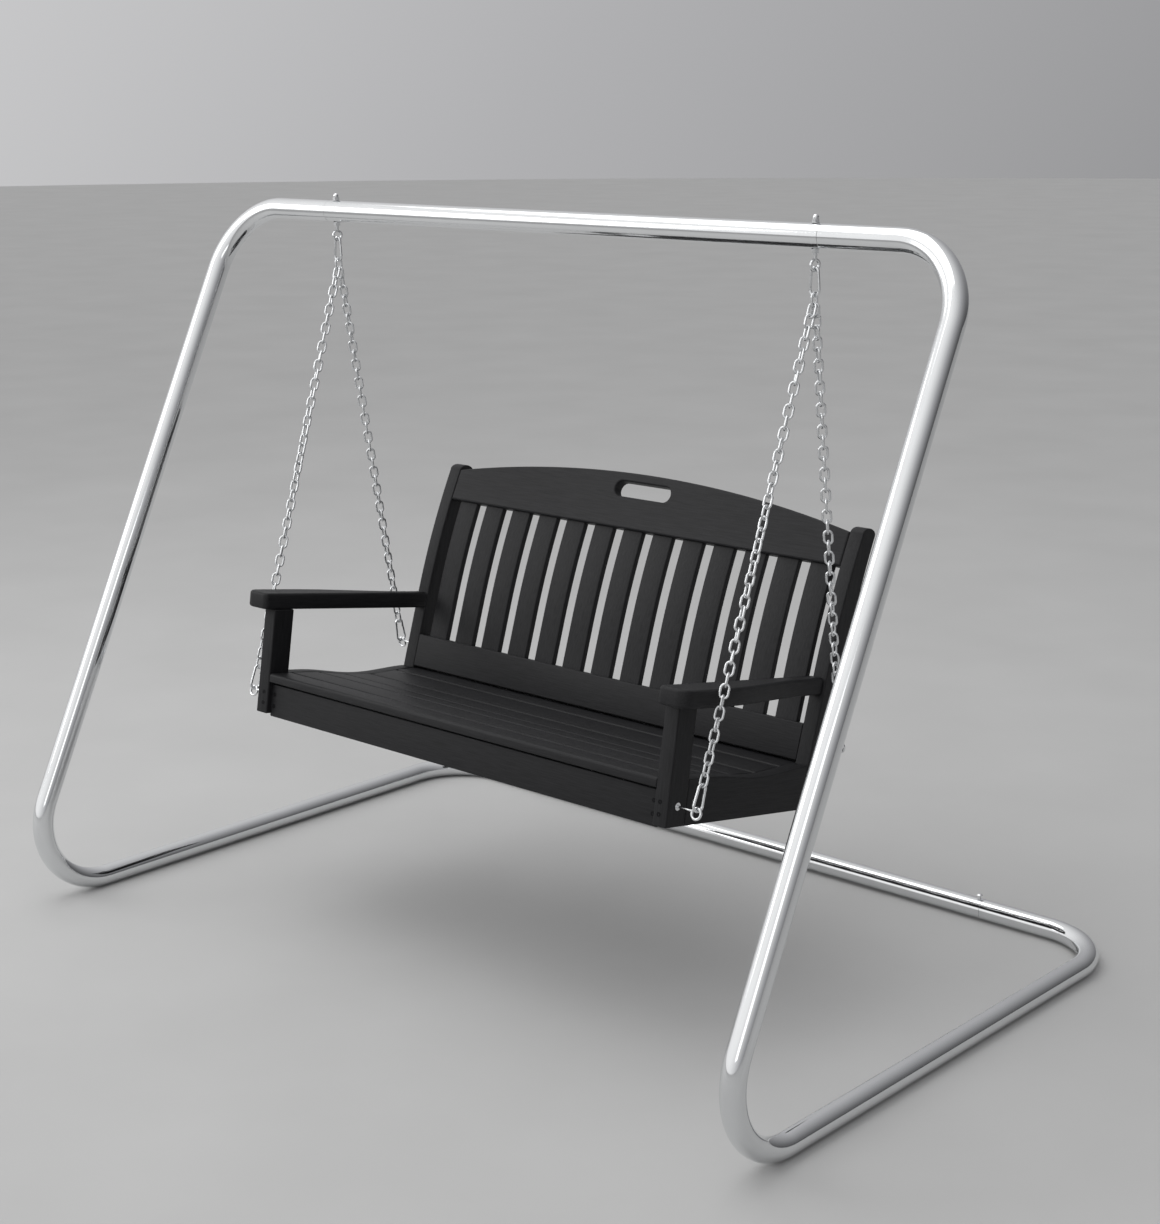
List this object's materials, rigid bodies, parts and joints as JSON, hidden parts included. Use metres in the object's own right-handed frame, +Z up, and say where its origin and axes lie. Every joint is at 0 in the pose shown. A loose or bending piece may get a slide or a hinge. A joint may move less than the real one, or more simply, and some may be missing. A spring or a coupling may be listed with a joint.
{
  "type": "porch swing",
  "caption": "Slatted bench swing hung by link chains and snap hooks from a free-standing stand of bent tube.",
  "frame": {"origin": "on the floor, at the middle of the stand's width and depth", "axes": "+X to the sitter's left hand side as seen from the front, so the viewer's right; -Y the way the sitter faces; +Z up"},
  "size_m": [2.127, 1.4069, 1.6356],
  "materials": {
    "tube": "mirror polished",
    "lumber": "brushed grain, dark charcoal",
    "chain": "bright zinc",
    "hardware": "polished",
    "screws": "dark satin"
  },
  "bodies": {
    "stand": {"top_bar": "tube", "rear_bar": "tube", "left_frame": "tube", "right_frame": "tube", "joint_sleeves": "tube", "hanger_eyes": "hardware", "hanger_cap_nuts": "hardware", "hanger_nuts": "hardware", "hanger_washers": "hardware", "rear_bolts": "hardware"},
    "swing": {"left_front_post": "lumber", "right_front_post": "lumber", "left_back_post": "lumber", "right_back_post": "lumber", "front_apron": "lumber", "left_side_board": "lumber", "right_side_board": "lumber", "seat_support": "lumber", "seat_cleats": "lumber", "rear_seat_rail": "lumber", "seat_slat_1": "lumber", "seat_slat_2": "lumber", "seat_slat_3": "lumber", "seat_slat_4": "lumber", "seat_slat_5": "lumber", "seat_slat_6": "lumber", "crest_rail": "lumber", "lower_back_rail": "lumber", "back_slat_01": "lumber", "back_slat_02": "lumber", "back_slat_03": "lumber", "back_slat_04": "lumber", "back_slat_05": "lumber", "back_slat_06": "lumber", "back_slat_07": "lumber", "back_slat_08": "lumber", "back_slat_09": "lumber", "back_slat_10": "lumber", "back_slat_11": "lumber", "back_slat_12": "lumber", "back_slat_13": "lumber", "left_arm": "lumber", "right_arm": "lumber", "bench_screws": "screws", "seat_eyes": "hardware", "seat_eye_washers": "hardware", "upper_snaps": "hardware", "lower_snaps": "hardware", "joining_links": "chain", "left_front_chain": "chain", "left_rear_chain": "chain", "right_front_chain": "chain", "right_rear_chain": "chain"},
    "right_upper_gate": {"right_upper_gate": "hardware"},
    "right_front_gate": {"right_front_gate": "hardware"},
    "right_rear_gate": {"right_rear_gate": "hardware"},
    "left_upper_gate": {"left_upper_gate": "hardware"},
    "left_front_gate": {"left_front_gate": "hardware"},
    "left_rear_gate": {"left_rear_gate": "hardware"}
  },
  "joints": [
    {"name": "swing_on_hangers", "type": "hinge", "parent": "stand", "child": "swing", "pos_m": [0, -0.00063, 1.5359], "axis": [1, 0, 0], "range_deg": [-25, 25]},
    {"name": "right_upper_gate_hinge", "type": "hinge", "parent": "swing", "child": "right_upper_gate", "pos_m": [0.6755, -0.00063, 1.52108], "axis": [0, -1, 0], "range_deg": [0, 25], "stiffness_Nm_per_rad": 0.05, "springref_deg": -17.19},
    {"name": "right_front_gate_hinge", "type": "hinge", "parent": "swing", "child": "right_front_gate", "pos_m": [0.66899, -0.30603, 0.55785], "axis": [-0.9658, 0.2505, -0.0674], "range_deg": [0, 25], "stiffness_Nm_per_rad": 0.05, "springref_deg": -17.19},
    {"name": "right_rear_gate_hinge", "type": "hinge", "parent": "swing", "child": "right_rear_gate", "pos_m": [0.66904, 0.14311, 0.58641], "axis": [-0.9657, 0.2532, 0.0569], "range_deg": [0, 25], "stiffness_Nm_per_rad": 0.05, "springref_deg": -17.19},
    {"name": "left_upper_gate_hinge", "type": "hinge", "parent": "swing", "child": "left_upper_gate", "pos_m": [-0.6755, -0.00063, 1.52108], "axis": [0, 1, 0], "range_deg": [0, 25], "stiffness_Nm_per_rad": 0.05, "springref_deg": -17.19},
    {"name": "left_front_gate_hinge", "type": "hinge", "parent": "swing", "child": "left_front_gate", "pos_m": [-0.66459, -0.306, 0.55792], "axis": [-0.9658, 0.2393, -0.1002], "range_deg": [0, 25], "stiffness_Nm_per_rad": 0.05, "springref_deg": -17.19},
    {"name": "left_rear_gate_hinge", "type": "hinge", "parent": "swing", "child": "left_rear_gate", "pos_m": [-0.66464, 0.1431, 0.5865], "axis": [-0.9657, 0.2587, 0.0202], "range_deg": [0, 25], "stiffness_Nm_per_rad": 0.05, "springref_deg": -17.19}
  ]
}
